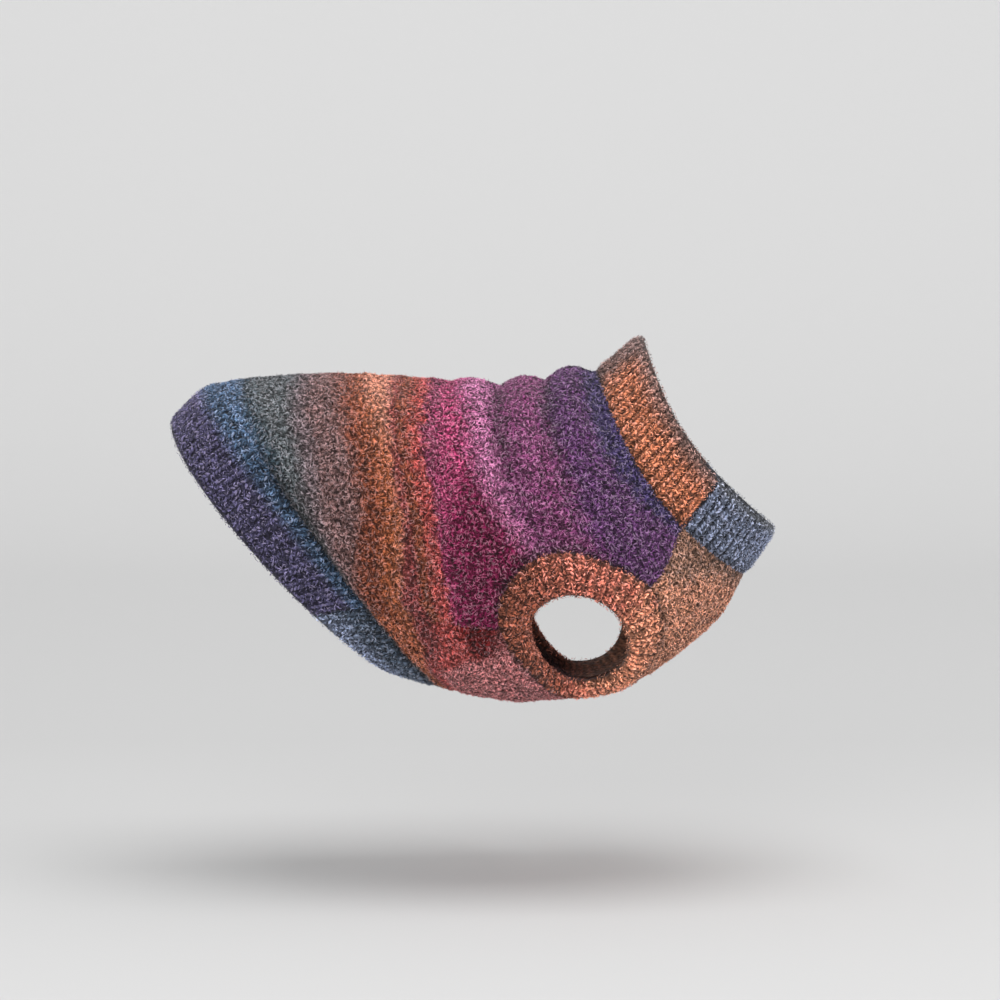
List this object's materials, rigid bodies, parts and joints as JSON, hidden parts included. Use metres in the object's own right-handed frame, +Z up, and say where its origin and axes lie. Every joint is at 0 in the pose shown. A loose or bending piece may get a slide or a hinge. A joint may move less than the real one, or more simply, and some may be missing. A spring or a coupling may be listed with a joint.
{
  "type": "dog sweater",
  "caption": "Short pull-on knitted sweater for a small dog, with a ribbed collar, ribbed hem and ribbed armholes, in its hollow worn form.",
  "frame": {"origin": "inside face of the back on the middle line, where the garment rests on its wearer", "axes": "+X forward to the collar, +Z up, +Y to the wearer's left"},
  "size_m": [0.3599, 0.1958, 0.2159],
  "materials": {
    "back_yarn": "brushed variegated knitting yarn, matt",
    "under_yarn": "brushed variegated knitting yarn, matt",
    "collar_back_yarn": "brushed variegated knitting yarn, matt",
    "collar_front_yarn": "brushed variegated knitting yarn, matt",
    "armhole_yarn": "brushed variegated knitting yarn, matt",
    "hem_back_yarn": "brushed variegated knitting yarn, matt",
    "hem_belly_yarn": "brushed variegated knitting yarn, matt"
  },
  "bodies": {
    "root": {"back_panel": "back_yarn", "under_panel": "under_yarn", "collar_back": "collar_back_yarn", "collar_front": "collar_front_yarn", "armhole_band_right": "armhole_yarn", "armhole_band_left": "armhole_yarn", "hem_back": "hem_back_yarn", "hem_belly": "hem_belly_yarn"}
  },
  "joints": []
}
